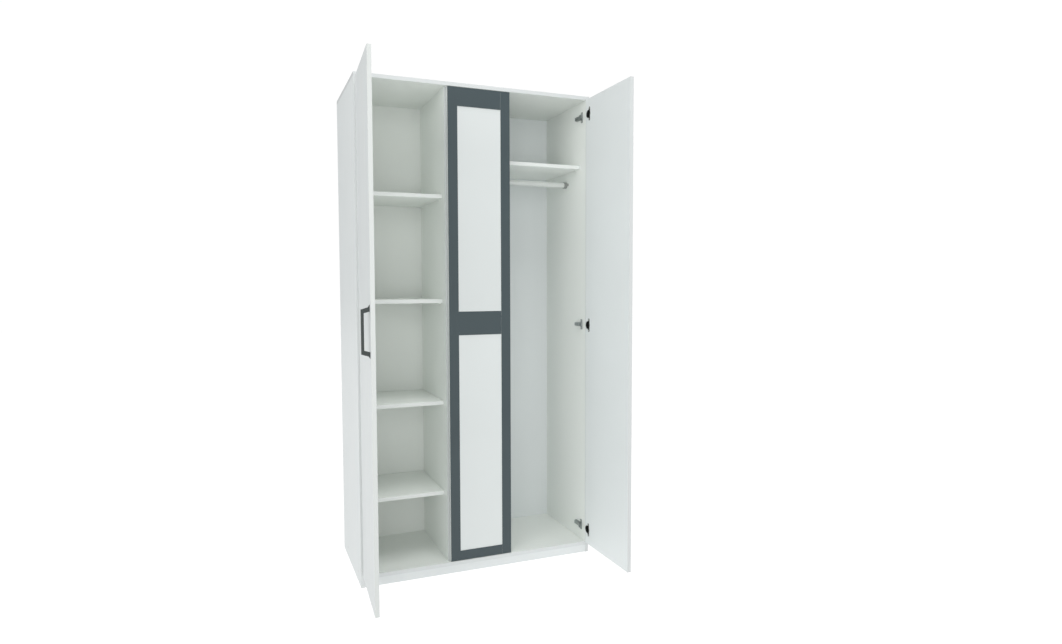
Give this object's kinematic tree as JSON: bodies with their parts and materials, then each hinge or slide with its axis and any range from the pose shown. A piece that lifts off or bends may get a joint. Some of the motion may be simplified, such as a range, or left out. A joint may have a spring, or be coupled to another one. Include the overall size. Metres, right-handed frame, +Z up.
{
  "type": "wardrobe with doors",
  "caption": "White wardrobe with three inset doors, a shelved bay on the left and a hanging bay with a hat shelf on the right.",
  "frame": {"origin": "middle of the front plinth's underside, on the floor", "axes": "+X towards the hanging bay's side, +Y to the back, +Z up"},
  "size_m": [1.0986, 0.8634, 2.1],
  "materials": {
    "white_laminate": "satin white laminate",
    "white_back_board": "matt white lacquer",
    "white_inset": "satin white laminate",
    "graphite_laminate": "satin graphite laminate",
    "graphite_handle": "satin graphite paint",
    "dark_nickel": "satin dark nickel",
    "nickel_steel": "satin nickel",
    "rail_metal": "satin light grey",
    "bracket_plastic": "matt dark grey",
    "screw_steel": "zinc plated"
  },
  "bodies": {
    "carcass": {"left_side_panel": "white_laminate", "right_side_panel": "white_laminate", "top_panel": "white_laminate", "bottom_panel": "white_laminate", "front_plinth": "white_laminate", "rear_plinth": "white_laminate", "divider_panel": "white_laminate", "left_back_panel": "white_back_board", "right_back_panel": "white_back_board", "left_bay_shelf_1": "white_laminate", "left_bay_shelf_2": "white_laminate", "left_bay_shelf_3": "white_laminate", "left_bay_shelf_4": "white_laminate", "hat_shelf": "white_laminate", "hanging_rail": "rail_metal", "left_rail_bracket": "bracket_plastic", "right_rail_bracket": "bracket_plastic", "left_door_bottom_hinge_arm": "nickel_steel", "left_door_middle_hinge_arm": "nickel_steel", "left_door_top_hinge_arm": "nickel_steel", "middle_door_bottom_hinge_arm": "nickel_steel", "middle_door_middle_hinge_arm": "nickel_steel", "middle_door_top_hinge_arm": "nickel_steel", "right_door_bottom_hinge_arm": "nickel_steel", "right_door_middle_hinge_arm": "nickel_steel", "right_door_top_hinge_arm": "nickel_steel", "hinge_mounting_plates": "nickel_steel", "mounting_screws": "screw_steel", "shelf_pins": "screw_steel", "confirmat_screws": "screw_steel"},
    "left_door": {"left_door_panel": "white_laminate", "left_door_handle": "graphite_handle", "left_door_bottom_hinge_cup": "dark_nickel", "left_door_middle_hinge_cup": "dark_nickel", "left_door_top_hinge_cup": "dark_nickel", "left_door_cup_screws": "screw_steel", "left_handle_screws": "screw_steel"},
    "middle_door": {"middle_door_left_stile": "graphite_laminate", "middle_door_right_stile": "graphite_laminate", "middle_door_top_rail": "graphite_laminate", "middle_door_middle_rail": "graphite_laminate", "middle_door_bottom_rail": "graphite_laminate", "middle_door_upper_inset": "white_inset", "middle_door_lower_inset": "white_inset", "middle_door_bottom_hinge_cup": "dark_nickel", "middle_door_middle_hinge_cup": "dark_nickel", "middle_door_top_hinge_cup": "dark_nickel", "middle_door_cup_screws": "screw_steel"},
    "right_door": {"right_door_panel": "white_laminate", "right_door_bottom_hinge_cup": "dark_nickel", "right_door_middle_hinge_cup": "dark_nickel", "right_door_top_hinge_cup": "dark_nickel", "right_door_cup_screws": "screw_steel"}
  },
  "joints": [
    {"name": "left_door_hinge", "type": "hinge", "parent": "carcass", "child": "left_door", "pos_m": [-0.523, -0.012, 1.067], "axis": [0, 0, -1], "range_deg": [-93, 12]},
    {"name": "middle_door_hinge", "type": "hinge", "parent": "carcass", "child": "middle_door", "pos_m": [-0.143, -0.012, 1.067], "axis": [0, 0, -1], "range_deg": [0, 90]},
    {"name": "right_door_hinge", "type": "hinge", "parent": "carcass", "child": "right_door", "pos_m": [0.523, -0.012, 1.067], "axis": [0, 0, 1], "range_deg": [-90.5, 14.5]}
  ]
}
